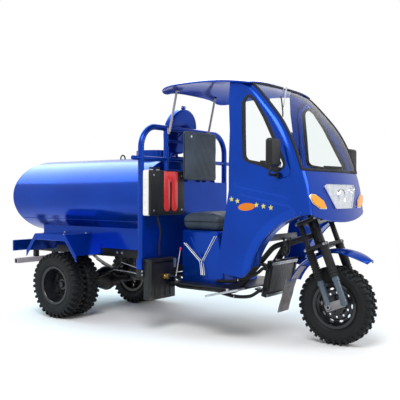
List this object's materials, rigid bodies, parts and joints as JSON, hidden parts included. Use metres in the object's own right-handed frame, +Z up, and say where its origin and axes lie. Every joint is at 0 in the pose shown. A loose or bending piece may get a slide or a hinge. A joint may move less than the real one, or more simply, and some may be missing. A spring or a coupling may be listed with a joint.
{
  "type": "water tanker tricycle",
  "caption": "Three-wheeled motor truck with a half-open driver's cab, twin rear tyres and a horizontal elliptical water tank with a hinged manhole lid.",
  "frame": {"origin": "on the ground at the middle of the vehicle's length and width", "axes": "+X forward, +Y to the vehicle's left, +Z up"},
  "size_m": [3.4968, 1.409, 2.04],
  "materials": {
    "gloss_blue": "glossy deep blue paint",
    "black_paint": "satin black paint",
    "tyre": "black ribbed rubber",
    "rim_paint": "black paint",
    "bare_steel": "dull bright steel",
    "cast_grey": "cast grey",
    "seat_vinyl": "slate grey vinyl",
    "clear_glass": "clear",
    "lamp_lens": "clear lens over chrome",
    "amber_lens": "amber lens",
    "red_lens": "red lens",
    "white_plastic": "white plastic",
    "black_plastic": "black plastic",
    "light_grey": "light grey paint",
    "flap_grey": "grey plastic",
    "brass": "dull brass",
    "shock_enamel": "grey blue enamel"
  },
  "bodies": {
    "chassis": {"chassis_frame": "black_paint", "rear_axle": "black_paint", "drive_shaft": "black_paint", "engine_block": "cast_grey", "exhaust": "black_paint", "radiator": "black_plastic", "rear_bar": "light_grey", "tank": "gloss_blue", "tank_tray": "gloss_blue", "rear_board": "gloss_blue", "fender_right": "gloss_blue", "fender_left": "gloss_blue", "tail_lamp_right": "red_lens", "tail_lamp_left": "red_lens", "guard_hoop": "gloss_blue", "bulkhead": "gloss_blue", "canister": "white_plastic", "canister_cover": "black_plastic", "battery_box": "black_plastic", "water_valve": "brass", "floor_pan": "black_paint", "seat_tub": "gloss_blue", "seat_cushion": "seat_vinyl", "backrest": "seat_vinyl", "side_step_right": "bare_steel", "side_step_left": "bare_steel", "cab_side_right": "gloss_blue", "cab_side_left": "gloss_blue", "roof_pole_right": "light_grey", "roof_pole_left": "light_grey", "mirror_right": "black_plastic", "mirror_left": "black_plastic", "turn_lamp_right": "amber_lens", "turn_lamp_left": "amber_lens", "cab_nose": "gloss_blue", "windscreen": "clear_glass", "roof": "gloss_blue", "headlamp": "lamp_lens"},
    "steering": {"fork": "shock_enamel", "front_mudguard": "gloss_blue", "mud_flap": "flap_grey", "handlebar": "black_plastic"},
    "front_wheel": {"front_tyre": "tyre", "front_rim": "rim_paint"},
    "rear_wheels_right": {"rear_rim_right": "rim_paint", "rear_tyre_outer_right": "tyre", "rear_tyre_inner_right": "tyre"},
    "rear_wheels_left": {"rear_rim_left": "rim_paint", "rear_tyre_outer_left": "tyre", "rear_tyre_inner_left": "tyre"},
    "tank_lid": {"manhole_lid": "gloss_blue"}
  },
  "joints": [
    {"name": "steering_turn", "type": "hinge", "parent": "chassis", "child": "steering", "pos_m": [1.28925, 0, 0.8], "axis": [-0.3746, 0, 0.9272], "range_deg": [-35, 35]},
    {"name": "front_wheel_spin", "type": "hinge", "parent": "steering", "child": "front_wheel", "pos_m": [1.45925, 0, 0.28911], "axis": [0, 1, 0], "continuous": true},
    {"name": "rear_wheels_right_spin", "type": "hinge", "parent": "chassis", "child": "rear_wheels_right", "pos_m": [-0.95075, -0.4995, 0.28911], "axis": [0, 1, 0], "continuous": true},
    {"name": "rear_wheels_left_spin", "type": "hinge", "parent": "chassis", "child": "rear_wheels_left", "pos_m": [-0.95075, 0.4995, 0.28911], "axis": [0, 1, 0], "continuous": true},
    {"name": "lid_hinge", "type": "hinge", "parent": "chassis", "child": "tank_lid", "pos_m": [-0.10156, 0, 1.4535], "axis": [0, -1, 0], "range_deg": [0, 103]}
  ]
}
